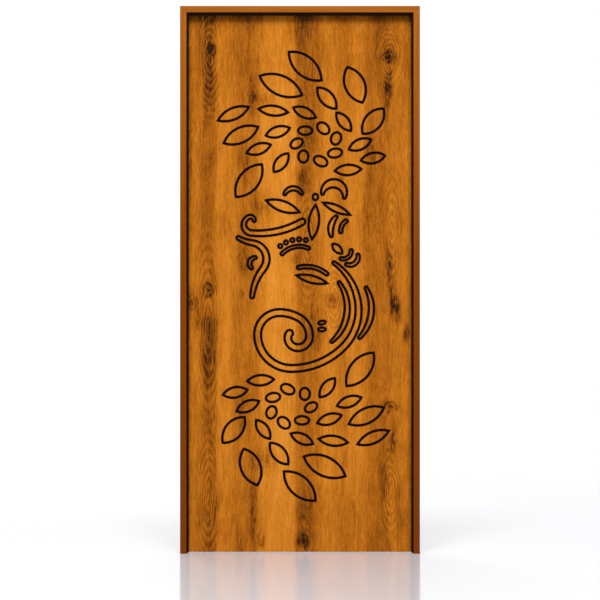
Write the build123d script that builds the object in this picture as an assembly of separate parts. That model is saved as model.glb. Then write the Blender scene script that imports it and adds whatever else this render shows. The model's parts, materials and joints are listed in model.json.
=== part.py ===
from build123d import *
import math
import os

os.makedirs("parts", exist_ok=True)

# A wooden door set: a mitred frame, stops with rubber seals, and one solid leaf with routed
# line carving, hung on three butt hinges. Millimetres. +X is the viewer's right, +Y goes away
# from the viewer, +Z is up. The origin is the middle of the set on the floor.

# Driving dimensions
SET_W = 915
SET_H = 2090
BOARD_T = 24
RECESS = 30
LEAF_T = 40
SIDE_CLEAR = 3
FLOOR_CLEAR = 4
ARRIS = 1.0

STOP_SIDE = 8
STOP_HEAD = 10
STOP_SET = 6
SEAL_T = 4
SEAL_CLEAR = 0.3
STOP_FOOT = 3

HINGE_H = 100
FLAP_W = 31.5
FLAP_T = 2.5
FLAP_SPACE = 1.0
PIN_R = 3.0
KNUCKLE_R = 5.5
KNUCKLES = 5
KNUCKLE_SHAKE = 0.3
AXIS_OUT = 6.0
RUN_FIT = 0.05
KNUCKLE_CLEAR = 0.4
TOP_HINGE_DOWN = 150
FOOT_HINGE_UP = 225

SHANK_R = 2.0
SCREW_FIT = 0.02
JAMB_SCREW_L = 22
LEAF_SCREW_L = 30
MITRE_SCREW_L = 50

FIXING_R = 4.0
FIXING_HEIGHTS = (480, 880, 1260, 1660)

GROOVE_W = 9
GROOVE_DEEP = 3
ART_X = 16
ART_RISE = 31

# Places that follow from them
DEPTH = RECESS + LEAF_T
FRONT = -(DEPTH + AXIS_OUT + KNUCKLE_R) / 2
BACK = FRONT + DEPTH
LEAF_FRONT = FRONT + RECESS
STOP_FRONT = FRONT + STOP_SET
STOP_BACK = LEAF_FRONT - SEAL_T
JAMB_IN = SET_W / 2 - BOARD_T
HEAD_IN = SET_H - BOARD_T
LEAF_HALF = JAMB_IN - SIDE_CLEAR
LEAF_TOP = HEAD_IN - SIDE_CLEAR
AXIS_X = -(JAMB_IN - SIDE_CLEAR / 2)
SCREW_HEAD_R = SHANK_R + FLAP_T
AXIS_Y = BACK + AXIS_OUT
ART_Z = (FLOOR_CLEAR + LEAF_TOP) / 2 + ART_RISE
FOOT_HINGE_Z = FLOOR_CLEAR + FOOT_HINGE_UP
TOP_HINGE_Z = LEAF_TOP - TOP_HINGE_DOWN - HINGE_H
HINGES = {
    "top": TOP_HINGE_Z,
    "middle": (TOP_HINGE_Z + FOOT_HINGE_Z) / 2,
    "bottom": FOOT_HINGE_Z,
}


def block(x0, x1, y0, y1, z0, z1):
    """Box between two corners."""
    middle = Pos((x0 + x1) / 2, (y0 + y1) / 2, (z0 + z1) / 2)
    return middle * Box(abs(x1 - x0), abs(y1 - y0), abs(z1 - z0))


def front_view(y):
    """Drawing plane that faces the viewer at depth y, with X to the right and Z up."""
    return Plane(origin=(0, y, 0), x_dir=(1, 0, 0), z_dir=(0, -1, 0))


def save(shape, name):
    """Write one piece, or one group of like pieces."""
    if isinstance(shape, (list, tuple)):
        shape = Compound(children=list(shape))
    export_step(shape, f"parts/{name}.step")


# Frame boards: eased on the two long front edges, then cut to the mitre
def eased(board, along):
    """Board with its long front edges chamfered."""
    front_edges = board.edges().filter_by(along).group_by(Axis.Y)[0]
    return chamfer(front_edges, ARRIS)


def mitred(board, outline):
    """Part of a board inside an outline drawn in the front view."""
    return board & extrude(front_view(FRONT) * make_face(Polyline(*outline, close=True)), -DEPTH)


half_w = SET_W / 2
jamb_outline = ((-half_w, 0), (-half_w, SET_H), (-JAMB_IN, HEAD_IN), (-JAMB_IN, 0))
head_outline = ((-half_w, SET_H), (half_w, SET_H), (JAMB_IN, HEAD_IN), (-JAMB_IN, HEAD_IN))
plain_jamb = mitred(
    eased(block(-half_w, -JAMB_IN, FRONT, BACK, 0, SET_H), Axis.Z), jamb_outline
)
plain_head = mitred(
    eased(block(-half_w, half_w, FRONT, BACK, HEAD_IN, SET_H), Axis.X), head_outline
)


# Fasteners: countersunk screws, drawn with the head's face at the origin, pointing along +Z
def screw_body(length, fit):
    """Screw, or the hole for it where fit is its clearance."""
    outline = (
        (0, 0),
        (SCREW_HEAD_R + fit, 0),
        (SHANK_R + fit, SCREW_HEAD_R - SHANK_R),
        (SHANK_R + fit, length + fit),
        (0, length + fit),
    )
    return revolve(Plane.XZ * make_face(Polyline(*outline, close=True)), Axis.Z)


def aimed(x, y, z, way):
    """Place at a point, turned so that a screw points along +X (way 1) or -X (way -1)."""
    return Pos(x, y, z) * Rot(0, 90 * way, 0)


# Mitre screws, two through each jamb into the end of the head
mitre_places = []
for side in (-1, 1):
    for share in (0.25, 0.75):
        place = aimed(side * half_w, FRONT + DEPTH * share, SET_H - BOARD_T / 2, -side)
        mitre_places.append(place)
mitre_holes = [place * screw_body(MITRE_SCREW_L, SCREW_FIT) for place in mitre_places]
save([place * screw_body(MITRE_SCREW_L, 0) for place in mitre_places], "mitre_screws")

# Wall fixing holes, drilled through the jambs behind the leaf's edge
fixing_y = LEAF_FRONT + LEAF_T / 2
fixing_drill = Rot(0, 90, 0) * Cylinder(FIXING_R, SET_W + 2 * BOARD_T)
fixing_drills = [Pos(0, fixing_y, z) * fixing_drill for z in FIXING_HEIGHTS]

# Hinges: the flaps lie face to face on both sides of the axis when the leaf is shut
flap_front = BACK - FLAP_W
flap_rows = (0.12, 0.37, 0.63, 0.88)
flap_columns = (0.64, 0.36)
knuckle_pitch = HINGE_H / KNUCKLES


def ring(radius, bore, z0, z1):
    """Tube on the hinge axis."""
    tube = Cylinder(radius, z1 - z0) - Cylinder(bore, z1 - z0)
    return Pos(AXIS_X, AXIS_Y, (z0 + z1) / 2) * tube


def screw_spots(z0):
    """Depth and height of the four screws of a flap, set in a zigzag."""
    spots = []
    for number, row in enumerate(flap_rows):
        spots.append((flap_front + FLAP_W * flap_columns[number % 2], z0 + HINGE_H * row))
    return spots


def flap(z0, side, first):
    """Flap with its own knuckles. side is -1 on the jamb, 1 on the leaf; first is 0 or 1."""
    near = AXIS_X + side * FLAP_SPACE / 2
    plate = block(near, near + side * FLAP_T, flap_front, AXIS_Y, z0, z0 + HINGE_H)
    tubes = []
    for number in range(KNUCKLES):
        low = z0 + knuckle_pitch * number
        high = low + knuckle_pitch
        if number % 2 == first:
            lift = 0 if number == 0 else KNUCKLE_SHAKE / 2
            drop = 0 if number == KNUCKLES - 1 else KNUCKLE_SHAKE / 2
            tubes.append(ring(KNUCKLE_R, PIN_R + RUN_FIT, low + lift, high - drop))
        else:
            room = Pos(AXIS_X, AXIS_Y, (low + high) / 2)
            plate -= room * Cylinder(KNUCKLE_R + KNUCKLE_CLEAR, knuckle_pitch + KNUCKLE_SHAKE)
    plate -= Pos(AXIS_X, AXIS_Y, z0 + HINGE_H / 2) * Cylinder(PIN_R + RUN_FIT, HINGE_H)
    body = plate.fuse(*tubes)
    holes = [aimed(near, y, z, side) * screw_body(JAMB_SCREW_L, SCREW_FIT)
             for y, z in screw_spots(z0)]
    return body - holes


def hinge_pin(z0):
    """Pin with a low domed head that rests on the top knuckle."""
    shaft = Pos(0, 0, HINGE_H / 2) * Cylinder(PIN_R, HINGE_H)
    dome = Pos(0, 0, HINGE_H) * (
        Pos(0, 0, KNUCKLE_R / 4) * Cylinder(KNUCKLE_R, KNUCKLE_R / 2)
    )
    dome = chamfer(dome.edges().group_by(Axis.Z)[-1], KNUCKLE_R / 4)
    return Pos(AXIS_X, AXIS_Y, z0) * (shaft + dome)


pocket_deep = FLAP_T + FLAP_SPACE / 2 - SIDE_CLEAR / 2
jamb_cuts = []
leaf_cuts = []
for place_name, z0 in HINGES.items():
    save(flap(z0, -1, 0), f"{place_name}_hinge_frame_flap")
    save(flap(z0, 1, 1), f"{place_name}_hinge_leaf_flap")
    save(hinge_pin(z0), f"{place_name}_hinge_pin")
    for side, length, cuts, owner in (
        (-1, JAMB_SCREW_L, jamb_cuts, "frame"),
        (1, LEAF_SCREW_L, leaf_cuts, "leaf"),
    ):
        face = AXIS_X + side * FLAP_SPACE / 2
        wood = AXIS_X + side * SIDE_CLEAR / 2
        spots = [aimed(face, y, z, side) for y, z in screw_spots(z0)]
        save([spot * screw_body(length, 0) for spot in spots], f"{place_name}_hinge_{owner}_screws")
        cuts.append(block(wood - side, wood + side * pocket_deep, flap_front, BACK + 1,
                          z0, z0 + HINGE_H))
        cuts.extend(spot * screw_body(length, SCREW_FIT) for spot in spots)

hinge_jamb = plain_jamb - jamb_cuts - mitre_holes - fixing_drills
closing_jamb = plain_jamb.mirror(Plane.YZ) - mitre_holes - fixing_drills
save(hinge_jamb, "hinge_jamb")
save(closing_jamb, "closing_jamb")
save(plain_head - mitre_holes, "head")

# Stops planted on the boards, each with a D-shaped rubber strip on its back
stop_half = JAMB_IN - STOP_SIDE
stop_under = HEAD_IN - STOP_HEAD


def stop_strip(x0, x1, z0, z1, edge_axis):
    """Square strip with its front edges eased."""
    return eased(block(x0, x1, STOP_FRONT, STOP_BACK, z0, z1), edge_axis)


def seal_strip(width, length):
    """Rubber strip along +Z with its flat side at y = 0 and its round side at +Y."""
    top = SEAL_T - SEAL_CLEAR
    flat = Line((0, 0), (width, 0))
    crown = ThreePointArc((width, 0), (width / 2, top), (0, 0))
    return extrude(make_face([flat, crown]), length)


side_length = stop_under - STOP_FOOT
save(stop_strip(-JAMB_IN, -stop_half, STOP_FOOT, stop_under, Axis.Z), "stop_hinge_side")
save(stop_strip(stop_half, JAMB_IN, STOP_FOOT, stop_under, Axis.Z), "stop_closing_side")
save(stop_strip(-JAMB_IN, JAMB_IN, stop_under, HEAD_IN, Axis.X), "stop_head")
side_seal = seal_strip(STOP_SIDE, side_length)
save(Pos(-JAMB_IN, STOP_BACK, STOP_FOOT) * side_seal, "seal_hinge_side")
save(Pos(stop_half, STOP_BACK, STOP_FOOT) * side_seal, "seal_closing_side")
head_seal = Pos(-JAMB_IN, STOP_BACK, HEAD_IN) * Rot(0, 90, 0) * seal_strip(STOP_HEAD, 2 * JAMB_IN)
save(head_seal, "seal_head")

# Carving. All places are measured from the middle of the pattern, right and up.
edge = GROOVE_W / 2


def groove(outline):
    """Flat ring between an outline widened and narrowed by half the groove."""
    return outline(edge) - outline(-edge)


def pointed_leaf(tip_a, tip_b, bulge):
    """Leaf of two equal arcs between two tips, each arc standing off the chord by bulge."""
    ax, az = tip_a
    bx, bz = tip_b
    chord = math.hypot(bx - ax, bz - az)
    radius = (chord**2 / 4 + bulge**2) / (2 * bulge)
    turn = math.degrees(math.atan2(bz - az, bx - ax))

    def outline(grow):
        reach = math.sqrt((radius + grow) ** 2 - (radius - bulge) ** 2)
        arc = ThreePointArc((-reach, 0), (0, bulge + grow), (reach, 0))
        face = make_face([arc, arc.mirror(Plane.XZ)])
        return Pos((ax + bx) / 2, (az + bz) / 2) * Rot(0, 0, turn) * face

    return outline


def oval(x, z, half_long, half_short, turn):
    """Ellipse with its long axis turned from level."""
    return lambda grow: (
        Pos(x, z) * Rot(0, 0, turn) * Ellipse(half_long + grow, half_short + grow)
    )


def band(start, heading, arcs, width):
    """Band that follows a run of arcs, each a radius and a turn in degrees, left positive.
    width is a function of the share of the run; the ends are round."""
    total = sum(radius * abs(turn) for radius, turn in arcs)
    x, z = start
    angle = math.radians(heading)
    run = 0
    knots = [(x, z, angle, 0)]
    for radius, turn in arcs:
        for _ in range(2):
            half = math.radians(turn) / 2
            chord = 2 * radius * math.sin(abs(half) / 2)
            x += chord * math.cos(angle + half / 2)
            z += chord * math.sin(angle + half / 2)
            angle += half
            run += radius * abs(turn) / 2
            knots.append((x, z, angle, run / total))

    def outline(grow):
        def beside(knot, degrees):
            """Point off the middle line by half the width, turned from the way it runs."""
            kx, kz, way, share = knot
            reach = width(share) / 2 + grow
            aim = way + math.radians(degrees)
            return (kx + reach * math.cos(aim), kz + reach * math.sin(aim))

        edges = []
        for degrees in (90, -90):
            side = [beside(knot, degrees) for knot in knots]
            for number in range(0, len(side) - 2, 2):
                edges.append(ThreePointArc(*side[number:number + 3]))
        for knot, tip in ((knots[0], 180), (knots[-1], 0)):
            edges.append(ThreePointArc(beside(knot, 90), beside(knot, tip), beside(knot, -90)))
        return make_face(edges)

    return outline


def bow(tip_a, tip_b, bulge, width):
    """Band on one arc between two points; a positive bulge is to the left of the way."""
    ax, az = tip_a
    bx, bz = tip_b
    chord = math.hypot(bx - ax, bz - az)
    radius = (chord**2 / 4 + bulge**2) / (2 * abs(bulge))
    half_turn = 2 * math.degrees(math.atan2(2 * bulge, chord))
    heading = math.degrees(math.atan2(bz - az, bx - ax)) + half_turn
    return band(tip_a, heading, [(radius, -2 * half_turn)], width)


def even(width):
    """The same width all along."""
    return lambda share: width


def swell(ends, middle):
    """Width that grows from the ends to the middle."""
    return lambda share: ends + (middle - ends) * math.sin(math.pi * share)


# Spray of seventeen pointed leaves round a ring of seven ovals, above the figure
SPRAY_LEAVES = [
    ((-59, 853), (66, 744), 37),
    ((-170, 761), (-8, 688), 37),
    ((165, 795), (223, 659), 38),
    ((51, 717), (123, 636), 25),
    ((-330, 591), (-212, 642), 22),
    ((-175, 635), (-62, 622), 19),
    ((-42, 640), (45, 602), 19),
    ((124, 621), (179, 551), 20),
    ((304, 636), (224, 540), 32),
    ((-308, 504), (-176, 566), 29),
    ((-147, 533), (-55, 562), 20),
    ((171, 480), (256, 518), 20),
    ((-220, 466), (-128, 498), 20),
    ((217, 438), (310, 456), 20),
    ((-61, 465), (-116, 394), 21),
    ((117, 398), (219, 405), 20),
    ((-162, 423), (-261, 298), 38),
]
SPRAY_OVALS = [
    (4, 552, 27, 16, 0),
    (73, 561, 26, 19, -41),
    (122, 522, 24, 19, 70),
    (118, 466, 27, 17, 10),
    (63, 435, 27, 18, -25),
    (-3, 453, 23, 19, 90),
    (-29, 503, 25, 17, 30),
]
spray = [pointed_leaf(*leaf) for leaf in SPRAY_LEAVES]
spray += [oval(*egg) for egg in SPRAY_OVALS]

# The same spray below the figure, turned half round, leaned and drawn out a little
LOWER_LEAN = 0.037
LOWER_DRAWN = 1.02


def lower(x, z):
    """Place in the lower spray of a place in the upper one."""
    return (16 - x - LOWER_LEAN * z, 6 - LOWER_DRAWN * z)


for tip_a, tip_b, bulge in SPRAY_LEAVES:
    spray.append(pointed_leaf(lower(*tip_a), lower(*tip_b), bulge))
for x, z, half_long, half_short, turn in SPRAY_OVALS:
    spray.append(oval(*lower(x, z), half_long, half_short, turn))

# Elephant-headed figure in single lines: trunk, tusk lines, eye, ear, forehead band and a
# headdress of plumes
trunk_arcs = [
    (221, -55),
    (200, -45),
    (280, -45),
    (130, -90),
    (84, -90),
    (150, -30),
    (80, -60),
    (45, -90),
    (38, -90),
    (26, -40),
]
figure = [
    band((114, 46), -35, trunk_arcs, lambda share: 26 - 14 * (1 - share) ** 8),
    bow((134, -30), (106, -255), 44, swell(11, 20)),
    bow((237, -50), (212, -240), 32, swell(11, 20)),
    oval(68, -183, 14, 7, 12),
    oval(68, -209, 14, 7, 0),
    bow((-21, 28), (86, 4), 13, even(13)),
    pointed_leaf((-30, -2), (88, -32), 14),
    bow((-84, 81), (16, 102), 16, even(12)),
    pointed_leaf((108, 118), (145, 82), 13),
    bow((142, 62), (180, 92), -12, even(12)),
    bow((162, 40), (206, 76), -17, swell(11, 15)),
    bow((-187, 66), (-202, 26), -14, swell(11, 15)),
    band((-252, 141), -30, [(150, 22), (62, -120), (200, 33)], swell(14, 24)),
    band((-8, 203), 210, [(330, -35), (32, -150), (15, -110)], lambda share: 24 - 12 * share**3),
    pointed_leaf((-146, 285), (-18, 240), 20),
    bow((-74, 310), (-10, 312), 20, swell(11, 16)),
    pointed_leaf((30, 136), (44, 268), 20),
    oval(43, 298, 12, 10, 90),
    bow((70, 312), (154, 297), 46, swell(11, 32)),
    pointed_leaf((72, 276), (176, 230), 13),
    bow((122, 222), (104, 150), -10, swell(11, 20)),
    bow((160, 206), (140, 166), -6, even(13)),
]
BEAD_R = 7.5
BEAD_ARC_R = 113
BEAD_STEP = 13.2
for number in range(5):
    bead_way = math.radians(77 + BEAD_STEP * number)
    bead_x = -19 + BEAD_ARC_R * math.cos(bead_way)
    bead_z = 23 + BEAD_ARC_R * math.sin(bead_way)
    figure.append(oval(bead_x, bead_z, BEAD_R, BEAD_R, 0))
grooves = [groove(outline) for outline in spray + figure]

# Leaf: one slab, eased all round, recessed for the hinges and routed on the face
slab = block(-LEAF_HALF, LEAF_HALF, LEAF_FRONT, BACK, FLOOR_CLEAR, LEAF_TOP)
rim_edges = slab.edges().filter_by(Axis.Y, reverse=True)
slab = chamfer(rim_edges, ARRIS)
art_plane = front_view(LEAF_FRONT).offset(ARRIS) * Pos(ART_X, ART_Z)
cutters = [extrude(art_plane * face, -GROOVE_DEEP - ARRIS) for face in grooves]
leaf = slab - leaf_cuts - cutters
save(leaf, "leaf")
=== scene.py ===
import bpy
import json
import math
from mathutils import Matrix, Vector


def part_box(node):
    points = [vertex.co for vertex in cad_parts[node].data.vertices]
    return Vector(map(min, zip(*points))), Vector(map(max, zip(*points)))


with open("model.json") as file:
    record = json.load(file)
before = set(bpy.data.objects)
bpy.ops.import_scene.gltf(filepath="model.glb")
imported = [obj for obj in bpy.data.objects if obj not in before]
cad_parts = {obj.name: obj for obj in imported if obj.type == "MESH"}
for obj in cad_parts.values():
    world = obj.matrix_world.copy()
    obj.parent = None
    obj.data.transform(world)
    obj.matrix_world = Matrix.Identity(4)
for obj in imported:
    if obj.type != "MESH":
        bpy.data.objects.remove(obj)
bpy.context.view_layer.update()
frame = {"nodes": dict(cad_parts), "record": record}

# Places on the door, metres
leaf_low, leaf_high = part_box("leaf")
head_low, head_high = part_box("head")
LEAF_FRONT = leaf_low[1]
LEAF_BACK = leaf_high[1]
LEAF_MIDDLE_Z = (leaf_low[2] + leaf_high[2]) / 2
FRAME_FRONT = head_low[1]
SET_HALF = head_high[0]
SET_TOP = head_high[2]

# Carving: half sizes of the field that may hold grooves, their depth, the slack at the top and
# foot of their walls, and the reach of the paint over their rims
CARVED_HALF_X = 0.425
CARVED_HALF_Z = 1.02
GROOVE_DEEP = 0.003
WALL_TOP = 0.0003
WALL_FOOT = 0.0006
PAINT_LAP = 0.0031

# Cross slots of the screws: half width and reach from the middle
SLOT_HALF = 0.0004
SLOT_REACH = 0.0020

# Photograph's framing: camera distance and height, and the width seen at the frame's front
CAMERA_FAR = 9.0
CAMERA_Z = 0.9682
SEEN_WIDE = 2.289

# Strength of the white world as light, and the radii between which the floor fades into it
WORLD_LIGHT = 0.33
FLOOR_FADE = (1.6, 4.5)


def lin(red, green, blue):
    """sRGB 0 to 255 as a linear colour."""
    def one(v):
        v /= 255
        return v / 12.92 if v <= 0.04045 else ((v + 0.055) / 1.055) ** 2.4
    return (one(red), one(green), one(blue), 1.0)


class Graph:
    """Short way to write a material's nodes. Values are sockets or plain numbers."""

    def __init__(self, name):
        self.material = bpy.data.materials.new(name)
        self.material.use_nodes = True
        self.tree = self.material.node_tree
        self.shader = self.tree.nodes["Principled BSDF"]
        self.coords = self.tree.nodes.new("ShaderNodeTexCoord").outputs["Object"]
        split = self.tree.nodes.new("ShaderNodeSeparateXYZ")
        self.tree.links.new(self.coords, split.inputs[0])
        self.x, self.y, self.z = split.outputs

    def put(self, socket, value):
        """Link a socket to an input, or set the input to a number or colour."""
        if isinstance(value, bpy.types.NodeSocket):
            self.tree.links.new(value, socket)
        else:
            socket.default_value = value

    def math(self, how, a, b=0.0, clamp=False):
        node = self.tree.nodes.new("ShaderNodeMath")
        node.operation = how
        node.use_clamp = clamp
        for socket, value in zip(node.inputs, (a, b)):
            self.put(socket, value)
        return node.outputs[0]

    def add(self, a, b):
        return self.math("ADD", a, b)

    def sub(self, a, b):
        return self.math("SUBTRACT", a, b)

    def mul(self, a, b):
        return self.math("MULTIPLY", a, b)

    def span(self, value, low, high, out_low=0.0, out_high=1.0):
        """Value carried smoothly from one range to another, held at the ends."""
        node = self.tree.nodes.new("ShaderNodeMapRange")
        node.interpolation_type = "SMOOTHSTEP"
        for socket, part in zip(node.inputs, (value, low, high, out_low, out_high)):
            self.put(socket, part)
        return node.outputs[0]

    def vector(self, x, y, z):
        node = self.tree.nodes.new("ShaderNodeCombineXYZ")
        for socket, value in zip(node.inputs, (x, y, z)):
            self.put(socket, value)
        return node.outputs[0]

    def noise(self, vector, scale, detail, rough=0.5):
        node = self.tree.nodes.new("ShaderNodeTexNoise")
        self.put(node.inputs["Vector"], vector)
        node.inputs["Scale"].default_value = scale
        node.inputs["Detail"].default_value = detail
        node.inputs["Roughness"].default_value = rough
        return node.outputs[0]

    def grain(self, places, scales, detail, rough=0.5):
        """Noise over three places, each with its own scale."""
        parts = [self.mul(place, scale) for place, scale in zip(places, scales)]
        return self.noise(self.vector(*parts), 1.0, detail, rough)

    def ripple(self, places, scales, detail):
        """The same noise, centred on 0."""
        return self.sub(self.grain(places, scales, detail), 0.5)

    def length(self, a, b):
        """Length of the line whose two parts are given."""
        return self.math("SQRT", self.add(self.mul(a, a), self.mul(b, b)))

    def mix(self, share, a, b):
        """Colour a, with a share of colour b."""
        node = self.tree.nodes.new("ShaderNodeMix")
        node.data_type = "RGBA"
        self.put(node.inputs[0], share)
        self.put(node.inputs[6], a)
        self.put(node.inputs[7], b)
        return node.outputs[2]

    def ramp(self, value, stops):
        node = self.tree.nodes.new("ShaderNodeValToRGB")
        self.put(node.inputs[0], value)
        points = node.color_ramp.elements
        while len(points) < len(stops):
            points.new(0.5)
        for point, (place, colour) in zip(points, stops):
            point.position = place
            point.color = colour
        return node.outputs[0]

    def bump(self, height, strength, distance):
        node = self.tree.nodes.new("ShaderNodeBump")
        node.inputs["Strength"].default_value = strength
        node.inputs["Distance"].default_value = distance
        self.put(node.inputs["Height"], height)
        self.tree.links.new(node.outputs[0], self.shader.inputs["Normal"])

    def spot(self, x, z, half_x, half_z, wobble):
        """1 at a place on the face, falling softly to 0 at about the given half sizes."""
        dx = self.math("DIVIDE", self.sub(self.add(self.x, wobble), x), half_x)
        dz = self.math("DIVIDE", self.sub(self.z, z), half_z)
        return self.span(self.length(dx, dz), 0.0, 1.0, 1.0, 0.0)

    def rim(self, reach):
        """1 beside a sharp edge, falling to 0 within the reach."""
        bevel = self.tree.nodes.new("ShaderNodeBevel")
        bevel.samples = 6
        bevel.inputs["Radius"].default_value = reach
        surface = self.tree.nodes.new("ShaderNodeNewGeometry")
        lean = self.tree.nodes.new("ShaderNodeVectorMath")
        lean.operation = "DOT_PRODUCT"
        self.put(lean.inputs[0], bevel.outputs["Normal"])
        self.put(lean.inputs[1], surface.outputs["Normal"])
        return self.span(lean.outputs["Value"], 0.92, 0.990, 1.0, 0.0)

    def finish(self, colour, rough, specular):
        self.put(self.shader.inputs["Base Color"], colour)
        self.put(self.shader.inputs["Roughness"], rough)
        self.shader.inputs["Specular IOR Level"].default_value = specular
        return self.material


# Tone across the leaf's planks, left to right: place in metres and tone
PLANKS = [
    (-0.430, 0.56), (-0.414, 0.64), (-0.400, 0.61), (-0.375, 0.50), (-0.355, 0.42), (-0.335, 0.46),
    (-0.322, 0.52), (-0.310, 0.67), (-0.280, 0.67), (-0.250, 0.58), (-0.225, 0.53), (-0.190, 0.54),
    (-0.165, 0.58), (-0.150, 0.70), (-0.125, 0.76), (-0.100, 0.80), (-0.040, 0.77), (-0.024, 0.72),
    (-0.011, 0.53), (0.010, 0.48), (0.045, 0.50), (0.075, 0.58), (0.110, 0.69), (0.140, 0.64),
    (0.165, 0.58), (0.215, 0.68), (0.245, 0.62), (0.275, 0.50), (0.325, 0.49), (0.365, 0.57),
    (0.400, 0.59), (0.414, 0.62), (0.430, 0.56),
]

# Knots: place, half sizes in metres and depth of tone
KNOTS = [
    (-0.338, 1.924, 0.022, 0.026, 0.60),
    (-0.352, 1.008, 0.030, 0.034, 0.56),
    (-0.412, 0.962, 0.026, 0.040, 0.50),
    (0.118, 0.966, 0.030, 0.036, 0.46),
    (0.335, 1.898, 0.034, 0.026, 0.52),
    (0.348, 0.560, 0.034, 0.026, 0.52),
    (-0.150, 0.048, 0.018, 0.030, 0.56),
    (0.012, 0.046, 0.028, 0.034, 0.50),
    (-0.222, 0.990, 0.014, 0.016, 0.30),
]

# Smoky streaks along the grain: place, half sizes and depth of tone
STREAKS = [
    (-0.350, 1.770, 0.026, 0.120, 0.20),
    (-0.185, 1.750, 0.014, 0.080, 0.34),
    (-0.140, 1.735, 0.040, 0.034, 0.30),
    (-0.215, 1.480, 0.030, 0.090, 0.20),
    (-0.145, 1.330, 0.044, 0.060, 0.34),
    (-0.290, 1.250, 0.020, 0.090, 0.18),
    (-0.210, 1.130, 0.026, 0.080, 0.26),
    (-0.025, 1.130, 0.026, 0.060, 0.26),
    (-0.350, 0.760, 0.030, 0.130, 0.26),
    (-0.375, 0.880, 0.060, 0.040, 0.22),
    (-0.140, 0.350, 0.050, 0.050, 0.32),
    (-0.180, 0.170, 0.012, 0.130, 0.32),
    (-0.230, 0.560, 0.034, 0.080, 0.18),
    (0.045, 1.580, 0.050, 0.050, 0.15),
    (0.008, 1.420, 0.034, 0.060, 0.26),
    (0.030, 1.700, 0.034, 0.180, 0.10),
    (0.060, 0.860, 0.040, 0.100, 0.22),
    (0.015, 0.170, 0.034, 0.150, 0.22),
    (-0.010, 2.000, 0.060, 0.060, 0.20),
    (0.338, 1.760, 0.014, 0.090, 0.46),
    (0.270, 1.500, 0.018, 0.160, 0.22),
    (0.250, 1.250, 0.018, 0.140, 0.22),
    (0.336, 1.100, 0.014, 0.070, 0.50),
    (0.350, 0.980, 0.015, 0.080, 0.46),
    (0.368, 0.930, 0.018, 0.050, 0.50),
    (0.405, 0.840, 0.014, 0.036, 0.60),
    (0.240, 0.960, 0.016, 0.120, 0.20),
    (0.354, 0.440, 0.014, 0.080, 0.44),
    (0.320, 0.300, 0.020, 0.120, 0.22),
    (0.200, 0.180, 0.014, 0.110, 0.20),
    (0.380, 0.200, 0.018, 0.120, 0.20),
    (-0.310, 0.150, 0.016, 0.120, 0.20),
    (-0.415, 1.500, 0.014, 0.240, 0.24),
]

# Arched figures: middle, how much longer than wide, reach to each side and line spacing
FIGURES = [
    (-0.345, 1.905, 3.2, 0.060, 0.0085),
    (-0.352, 0.860, 5.5, 0.052, 0.0085),
    (-0.350, 0.210, 4.5, 0.046, 0.0085),
    (0.030, 1.180, 4.0, 0.046, 0.0090),
    (0.352, 1.240, 5.0, 0.034, 0.0080),
    (0.130, 0.985, 3.0, 0.046, 0.0085),
    (0.345, 0.240, 4.0, 0.036, 0.0085),
    (0.340, 1.890, 2.6, 0.040, 0.0080),
]


def plank_tone(g, shift):
    """Tone that changes from plank to plank, after the PLANKS table."""
    node = g.tree.nodes.new("ShaderNodeFloatCurve")
    curve = node.mapping.curves[0]
    low, high = PLANKS[0][0], PLANKS[-1][0]
    for place, tone in PLANKS[1:-1]:
        curve.points.new((place - low) / (high - low), tone)
    curve.points[0].location = (0.0, PLANKS[0][1])
    curve.points[-1].location = (1.0, PLANKS[-1][1])
    node.mapping.update()
    across = g.sub(g.add(g.x, shift), low)
    g.put(node.inputs["Value"], g.math("DIVIDE", across, high - low, clamp=True))
    return node.outputs[0]


def add_figures(g, tone, curl, fray):
    """Arched growth lines round each middle in the FIGURES table."""
    for x, z, longer, reach, gap in FIGURES:
        dx = g.add(g.sub(g.x, x), g.mul(curl, 0.018))
        dz = g.math("DIVIDE", g.add(g.sub(g.z, z), g.mul(fray, 0.020)), longer)
        out = g.length(dx, dz)
        lines = g.math("SINE", g.math("DIVIDE", g.add(out, g.mul(curl, 0.010)), gap / math.tau))
        beside = g.span(g.math("ABSOLUTE", dx), reach * 0.55, reach, 1.0, 0.0)
        near = g.mul(beside, g.span(out, reach * 0.8, reach * 1.6, 1.0, 0.0))
        tone = g.add(tone, g.mul(g.mul(lines, near), 0.085))
    return tone


def add_painted_shade(g, tone):
    """Painted shade: the leaf darker towards the top and a little at the foot, a band of painted
    shadow under the head, and painted shade along both side rims.
    """
    tone = g.sub(tone, g.span(g.z, 1.66, 1.90, 0.0, 0.10))
    tone = g.sub(tone, g.span(g.z, 0.05, 0.35, 0.05, 0.0))
    # painted shadow of the head across the leaf's top
    tone = g.sub(tone, g.span(g.z, 2.018, 2.060, 0.0, 0.24))
    # painted shade along the side rims beside the stops
    return g.sub(tone, g.span(g.math("ABSOLUTE", g.x), 0.408, 0.430, 0.0, 0.16))


def add_marks(g, tone, smoky, drift, fray):
    """Dark streaks and ringed knots."""
    for x, z, half_x, half_z, dark in STREAKS:
        mark = g.spot(x, z, half_x * 1.6, half_z * 1.5, drift)
        tone = g.sub(tone, g.mul(g.mul(mark, smoky), dark))
    for x, z, half_x, half_z, dark in KNOTS:
        dx = g.math("DIVIDE", g.add(g.sub(g.x, x), g.mul(fray, 0.016)), half_x)
        dz = g.math("DIVIDE", g.add(g.sub(g.z, z), g.mul(fray, 0.022)), half_z)
        far = g.length(dx, dz)
        rings = g.add(0.75, g.mul(g.math("SINE", g.mul(far, 11.0)), 0.25))
        mark = g.mul(g.mul(g.span(far, 0.1, 1.5, 1.0, 0.0), rings), smoky)
        tone = g.sub(tone, g.mul(mark, dark))
    return tone


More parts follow.
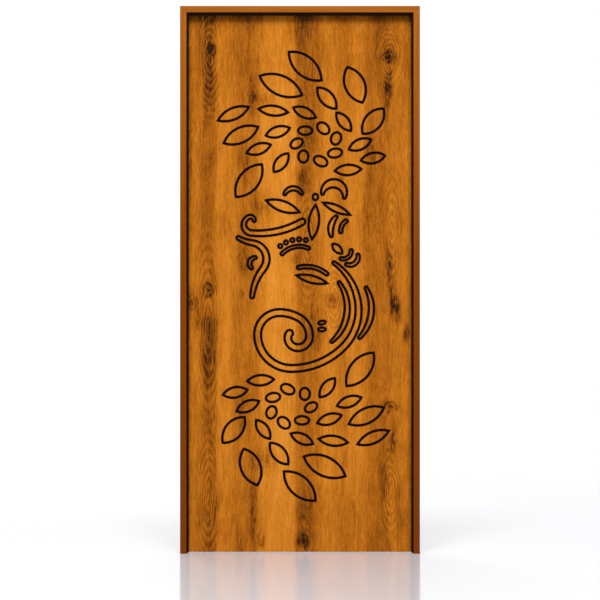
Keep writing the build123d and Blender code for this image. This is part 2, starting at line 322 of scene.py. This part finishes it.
def groove_paint(g):
    """1 on the walls and floors of the grooves and just over their rims, 0 elsewhere."""
    inside_x = g.math("LESS_THAN", g.math("ABSOLUTE", g.x), CARVED_HALF_X)
    off_middle = g.math("ABSOLUTE", g.sub(g.z, LEAF_MIDDLE_Z))
    inside_z = g.math("LESS_THAN", off_middle, CARVED_HALF_Z)
    below_face = g.math("GREATER_THAN", g.y, LEAF_FRONT + WALL_TOP)
    above_floor = g.math("LESS_THAN", g.y, LEAF_FRONT + GROOVE_DEEP + WALL_FOOT)
    lap = g.mul(g.rim(PAINT_LAP), above_floor)
    painted = g.math("MAXIMUM", g.mul(below_face, above_floor), lap)
    return g.mul(painted, g.mul(inside_x, inside_z))


def leaf_wood():
    """Planked wood with figures, streaks and knots after the photograph, painted shade at its top,
    foot and side rims, and painted grooves.
    """
    g = Graph("leaf_wood")
    wave = g.ripple((g.x, 0.3, g.z), (4.0, 1.0, 1.6), 3.0)
    curl = g.ripple((g.x, 2.7, g.z), (22.0, 1.0, 9.0), 3.0)
    fray = g.ripple((g.x, 8.2, g.z), (70.0, 1.0, 45.0), 3.0)
    # Place across the grain, which waves and swerves round the knots
    along = g.add(g.add(g.x, g.mul(wave, 0.050)), g.mul(curl, 0.012))
    for x, z, half_x, half_z, dark in KNOTS:
        swerve = g.spot(x, z, half_x * 3, half_z * 4.5, 0.0)
        along = g.sub(along, g.mul(g.mul(swerve, g.sub(g.x, x)), 0.75))

    grain = g.grain((along, g.y, g.z), (150.0, 30.0, 10.0), 4.0, 0.7)
    pores = g.grain((along, g.y, g.z), (800.0, 80.0, 50.0), 2.0, 0.6)
    layers = [
        (g.grain((g.x, g.y, g.z), (24.0, 6.0, 9.0), 4.0, 0.6), 0.36),
        (g.grain((along, 1.1, g.z), (34.0, 1.0, 2.6), 3.0, 0.55), 0.26),
        (grain, 0.42),
        (g.grain((along, g.y, g.z), (330.0, 60.0, 34.0), 3.0, 0.6), 0.50),
        (g.grain((g.x, g.y, g.z), (280.0, 90.0, 170.0), 3.0, 0.6), 0.50),
    ]
    tone = plank_tone(g, g.mul(wave, 0.020))
    for layer, share in layers:
        tone = g.add(tone, g.mul(g.sub(layer, 0.5), share))
    tone = g.sub(tone, g.span(pores, 0.56, 0.74, 0.0, 0.22))
    tone = add_figures(g, tone, curl, fray)
    # painted shade at the top, foot and side rims of the leaf
    tone = add_painted_shade(g, tone)
    smoke = g.grain((along, 5.1, g.z), (95.0, 1.0, 30.0), 5.0, 0.7)
    smoky = g.span(smoke, 0.34, 0.68, 1.15, 0.30)
    drift = g.add(g.add(g.mul(curl, 0.040), g.mul(wave, 0.030)), g.mul(fray, 0.010))
    tone = add_marks(g, tone, smoky, drift, fray)

    colour = g.ramp(tone, [
        (0.00, lin(38, 19, 4)),
        (0.18, lin(90, 49, 10)),
        (0.36, lin(146, 80, 12)),
        (0.52, lin(179, 103, 20)),
        (0.68, lin(202, 121, 30)),
        (0.84, lin(219, 137, 42)),
        (1.00, lin(233, 155, 60)),
    ])
    colour = g.mix(groove_paint(g), colour, lin(10, 5, 3))
    g.bump(g.add(g.mul(grain, 0.6), g.mul(pores, 0.4)), 0.10, 0.0006)
    return g.finish(colour, g.add(0.46, g.mul(grain, 0.16)), 0.035)


def frame_wood(name, upright, tones):
    """Wood of a frame board with the grain along it; the uprights are painted darker downwards, as
    painted shade.
    """
    g = Graph(name)
    length, across = (g.z, g.x) if upright else (g.x, g.z)
    wave = g.ripple((across, g.y, length), (20.0, 1.0, 1.4), 2.0)
    along = g.add(across, g.mul(wave, 0.010))
    middle = g.grain((along, g.y, length), (130.0, 60.0, 2.0), 3.0)
    fine = g.grain((along, g.y, length), (700.0, 350.0, 9.0), 4.0, 0.6)
    # painted shade: the uprights' tone falls from the top to the foot
    tone = g.math("DIVIDE", g.z, SET_TOP) if upright else 0.75
    tone = g.add(tone, g.mul(g.sub(middle, 0.5), 0.45))
    tone = g.add(tone, g.mul(g.sub(fine, 0.5), 0.22))
    colour = g.ramp(tone, tones)
    # Dark line along the mitre, where the two boards are as far from the side as from the top
    from_side = g.sub(SET_HALF, g.math("ABSOLUTE", g.x))
    off_mitre = g.math("ABSOLUTE", g.sub(from_side, g.sub(SET_TOP, g.z)))
    colour = g.mix(g.span(off_mitre, 0.0003, 0.0014, 0.6, 0.0), colour, lin(40, 18, 2))
    g.bump(g.add(g.mul(fine, 0.6), g.mul(middle, 0.4)), 0.10, 0.0005)
    return g.finish(colour, g.add(0.44, g.mul(fine, 0.15)), 0.06)


def shade_black_stops():
    """Stops painted black: painted shade standing for the dark shadowed band between the frame and
    the leaf.
    """
    g = Graph("stop_wood")
    grain = g.grain((g.x, g.y, g.z), (300.0, 300.0, 8.0), 3.0)
    colour = g.mix(grain, lin(10, 4, 2), lin(24, 12, 6))
    g.bump(grain, 0.1, 0.0004)
    return g.finish(colour, g.add(0.55, g.mul(grain, 0.15)), 0.06)


def rubber():
    """Matt black seals."""
    g = Graph("seal_rubber")
    grain = g.noise(g.coords, 900.0, 2.0)
    colour = g.mix(grain, lin(16, 16, 17), lin(30, 30, 31))
    g.bump(grain, 0.15, 0.0002)
    return g.finish(colour, g.add(0.62, g.mul(grain, 0.15)), 0.35)


def steel(name, shine, spots):
    """Brushed steel, with a cross slot drawn as painted shade on the screw heads at the given
    places.
    """
    g = Graph(name)
    brushed = g.grain((g.x, g.y, g.z), (900.0, 900.0, 60.0), 3.0)
    cloud = g.noise(g.coords, 60.0, 3.0)
    colour = g.mix(cloud, lin(138, 138, 137), lin(166, 166, 164))
    slot = 0.0
    for y, z in spots:
        off_y = g.math("ABSOLUTE", g.sub(g.y, y))
        off_z = g.math("ABSOLUTE", g.sub(g.z, z))
        short = g.math("MINIMUM", off_y, off_z)
        reach = g.math("MAXIMUM", off_y, off_z)
        thin = g.math("LESS_THAN", short, SLOT_HALF)
        cross = g.mul(thin, g.math("LESS_THAN", reach, SLOT_REACH))
        slot = g.math("MAXIMUM", slot, cross)
    if spots:
        # the slots' dark colour is painted shade of the recesses
        colour = g.mix(slot, colour, lin(24, 24, 24))
    g.shader.inputs["Metallic"].default_value = 1.0
    g.bump(brushed, 0.08, 0.0002)
    rough = g.add(g.mul(brushed, 0.18), shine)
    return g.finish(colour, g.add(rough, g.mul(cloud, 0.06)), 0.5)


def pale_floor():
    """Pale and a little glossy, fading out into the white world."""
    g = Graph("floor")
    g.finish(lin(238, 240, 244), 0.12, 0.2)
    clear = g.tree.nodes.new("ShaderNodeBsdfTransparent")
    mix = g.tree.nodes.new("ShaderNodeMixShader")
    g.put(mix.inputs[0], g.span(g.length(g.x, g.y), *FLOOR_FADE))
    g.put(mix.inputs[1], g.shader.outputs[0])
    g.put(mix.inputs[2], clear.outputs[0])
    g.put(g.tree.nodes["Material Output"].inputs["Surface"], mix.outputs[0])
    return g.material


# Middles of the screw heads, depth and height: zigzag rows in the hinges, pairs in the mitres
screw_spots = []
for place in ("top", "middle", "bottom"):
    flap_low, flap_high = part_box(place + "_hinge_frame_flap")
    depth = LEAF_BACK - flap_low[1]
    height = flap_high[2] - flap_low[2]
    for share, row in ((0.64, 0.12), (0.36, 0.37), (0.64, 0.63), (0.36, 0.88)):
        screw_spots.append((flap_low[1] + depth * share, flap_low[2] + height * row))
for share in (0.25, 0.75):
    depth = head_high[1] - head_low[1]
    screw_spots.append((head_low[1] + depth * share, (head_low[2] + head_high[2]) / 2))

# The jambs' ramp runs from the dark foot to the lighter top: painted shade
jamb_wood = frame_wood("jamb_wood", True, [
    (0.00, lin(120, 57, 1)),
    (0.25, lin(122, 58, 1)),
    (0.55, lin(134, 65, 2)),
    (1.00, lin(172, 98, 22)),
])
head_wood = frame_wood("head_wood", False, [
    (0.30, lin(126, 66, 8)),
    (0.60, lin(150, 82, 16)),
    (0.80, lin(168, 96, 22)),
    (1.00, lin(186, 112, 34)),
])
finishes = {
    "leaf_wood": leaf_wood(),
    "jamb_wood": jamb_wood,
    "head_wood": head_wood,
    # the stops' black is painted shade
    "stop_wood": shade_black_stops(),
    "seal_rubber": rubber(),
    "hinge_steel": steel("hinge_steel", 0.36, []),
    "screw_steel": steel("screw_steel", 0.32, screw_spots),
}

# Each piece in the finish of its slot in the record
slots = {part["node"]: part["material_slot"] for part in frame["record"]["subparts"]}
for name, piece in frame["nodes"].items():
    piece.data.materials.clear()
    piece.data.materials.append(finishes[slots[name]])

bpy.ops.mesh.primitive_plane_add(size=12, location=(0, 0, 0))
floor = bpy.context.object
floor.name = "floor"
floor.data.materials.append(pale_floor())


def white_world():
    """World that is white to the camera and in reflections, and softer as light."""
    world = bpy.data.worlds.new("world")
    world.use_nodes = True
    tree = world.node_tree
    rays = tree.nodes.new("ShaderNodeLightPath")
    soft = tree.nodes["Background"]
    seen = tree.nodes.new("ShaderNodeBackground")
    for background, strength in ((soft, WORLD_LIGHT), (seen, 1.0)):
        background.inputs["Color"].default_value = (1.0, 1.0, 1.0, 1.0)
        background.inputs["Strength"].default_value = strength
    looked_at = rays.outputs["Is Camera Ray"]
    for ray in ("Is Glossy Ray", "Is Transmission Ray"):
        either = tree.nodes.new("ShaderNodeMath")
        either.operation = "MAXIMUM"
        tree.links.new(looked_at, either.inputs[0])
        tree.links.new(rays.outputs[ray], either.inputs[1])
        looked_at = either.outputs[0]
    choose = tree.nodes.new("ShaderNodeMixShader")
    for socket, value in zip(choose.inputs, (looked_at, soft.outputs[0], seen.outputs[0])):
        tree.links.new(value, socket)
    tree.links.new(choose.outputs[0], tree.nodes["World Output"].inputs["Surface"])
    return world


def lamp(name, place, target, size, power):
    """Soft rectangular lamp aimed at a point."""
    data = bpy.data.lights.new(name, "AREA")
    data.shape = "RECTANGLE"
    data.size, data.size_y = size
    data.energy = power
    thing = bpy.data.objects.new(name, data)
    bpy.context.collection.objects.link(thing)
    thing.location = place
    run = [t - p for t, p in zip(target, place)]
    flat = math.hypot(run[0], run[1])
    thing.rotation_euler = (
        math.pi / 2 - math.atan2(-run[2], flat), 0, math.atan2(run[1], run[0]) - math.pi / 2
    )


bpy.context.scene.world = white_world()
lamp("key", (-0.3, -4.3, 7.6), (0, 0, 1.1), (3.0, 3.4), 520)
lamp("fill", (2.6, -4.0, 1.6), (0, 0, 0.9), (2.0, 2.4), 30)
lamp("back", (-1.0, 4.2, 3.6), (0, 0, 1.1), (3.6, 2.2), 120)

camera_data = bpy.data.cameras.new("camera")
camera_data.lens = camera_data.sensor_width * CAMERA_FAR / SEEN_WIDE
camera_data.clip_end = 60
camera = bpy.data.objects.new("camera", camera_data)
bpy.context.collection.objects.link(camera)
camera.location = (0, FRAME_FRONT - CAMERA_FAR, CAMERA_Z)
camera.rotation_euler = (math.pi / 2, 0, 0)
bpy.context.scene.camera = camera
bpy.context.scene.view_settings.view_transform = "Standard"
